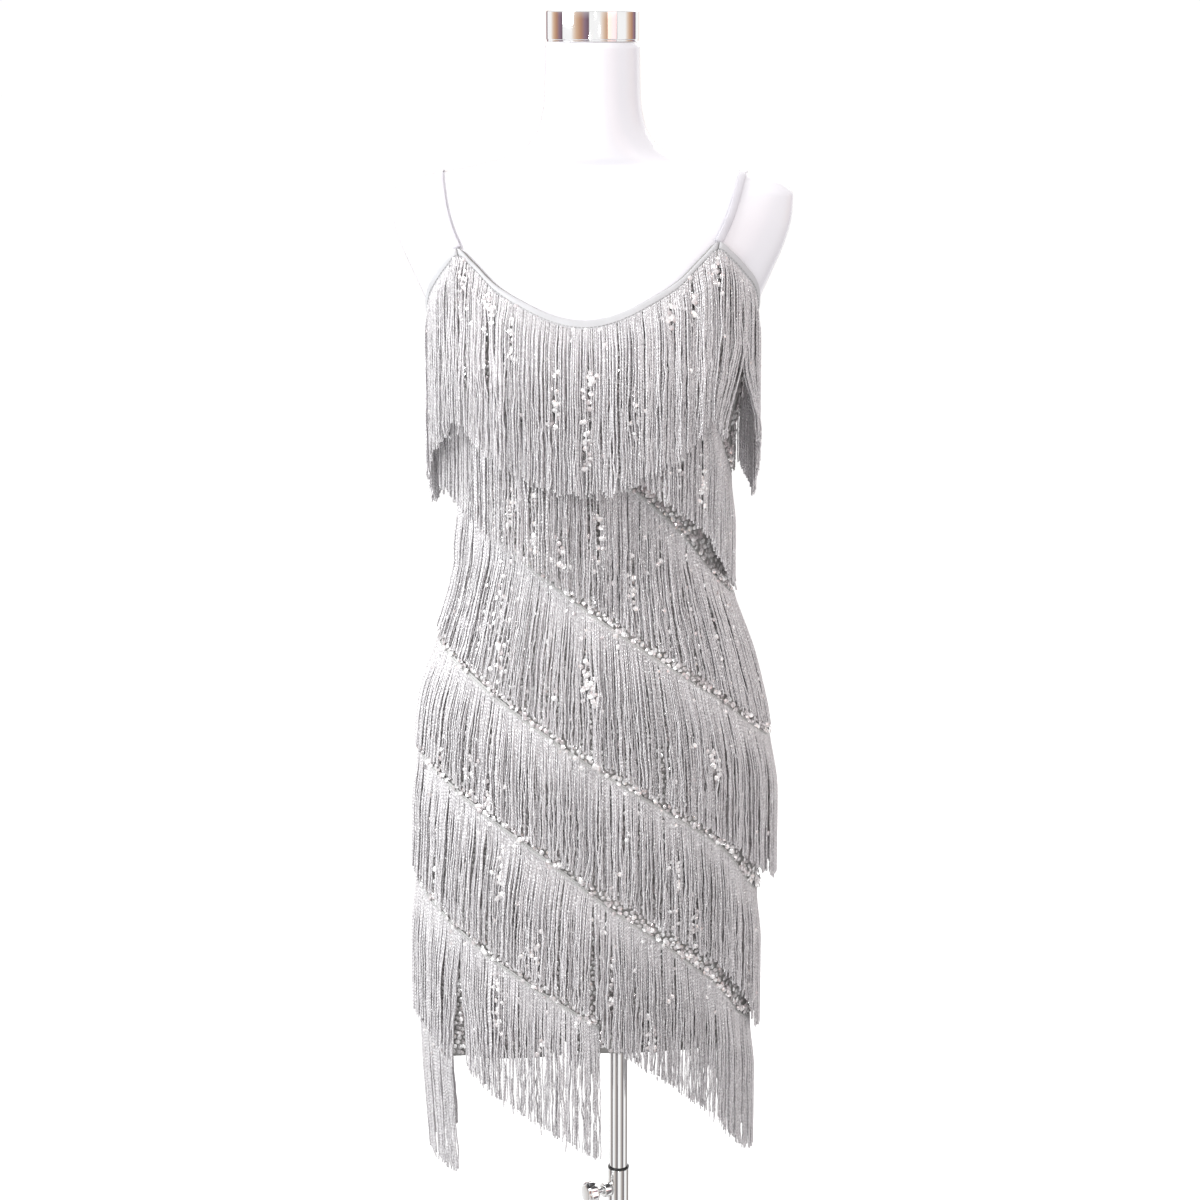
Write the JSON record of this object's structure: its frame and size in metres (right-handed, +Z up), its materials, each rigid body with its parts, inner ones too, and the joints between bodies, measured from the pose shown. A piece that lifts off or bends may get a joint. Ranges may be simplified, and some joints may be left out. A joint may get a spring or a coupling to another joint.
{
  "type": "fringed flapper dress on a limbless dress form and stand",
  "caption": "Sleeveless sequinned dress with slanting rows of long fringe and thin straps, worn by a limbless dress form on a height-adjustable chrome stand with a round base.",
  "frame": {"origin": "centre of the base plate's underside, on the pole's axis; the dress form's centre plane is 28 mm towards -X", "axes": "+Z up along the pole, -Y towards the front of the dress, +X towards the wearer's left"},
  "size_m": [0.412, 0.29, 1.5653],
  "materials": {
    "sequin_cloth": "grey stretch cloth covered with small silver cupped sequins",
    "fringe": "silver-grey twisted chainette with a fine metallic yarn",
    "binding": "silver satin binding, topstitched",
    "form_skin": "smooth glossy white plastic",
    "chrome": "polished chrome plate",
    "ring": "black plastic"
  },
  "bodies": {
    "stand": {"base_plate": "chrome", "base_socket": "chrome", "pole_lower": "chrome", "pole_ring": "ring", "knob_boss": "chrome"},
    "knob": {"knob": "chrome"},
    "form": {"pole_upper": "chrome", "form_flange": "chrome", "form_torso": "form_skin", "form_neck_cap": "chrome", "dress_front": "sequin_cloth", "dress_back": "sequin_cloth", "strap_left": "binding", "strap_right": "binding", "binding_neck_front": "binding", "binding_armhole_left": "binding", "binding_neck_back": "binding", "binding_armhole_right": "binding", "fringe_yoke": "fringe", "fringe_breast": "fringe", "fringe_ribs": "fringe", "fringe_waist": "fringe", "fringe_hip": "fringe", "fringe_seat": "fringe", "fringe_thigh": "fringe", "fringe_hem": "fringe"}
  },
  "joints": [
    {"name": "height_slide", "type": "slide", "parent": "stand", "child": "form", "axis": [0, 0, 1], "range_m": [-0.1, 0.1]},
    {"name": "knob_turn", "type": "hinge", "parent": "stand", "child": "knob", "pos_m": [0, 0, 0.288], "axis": [-0.8829, -0.4695, 0], "range_deg": [0, 360]}
  ]
}
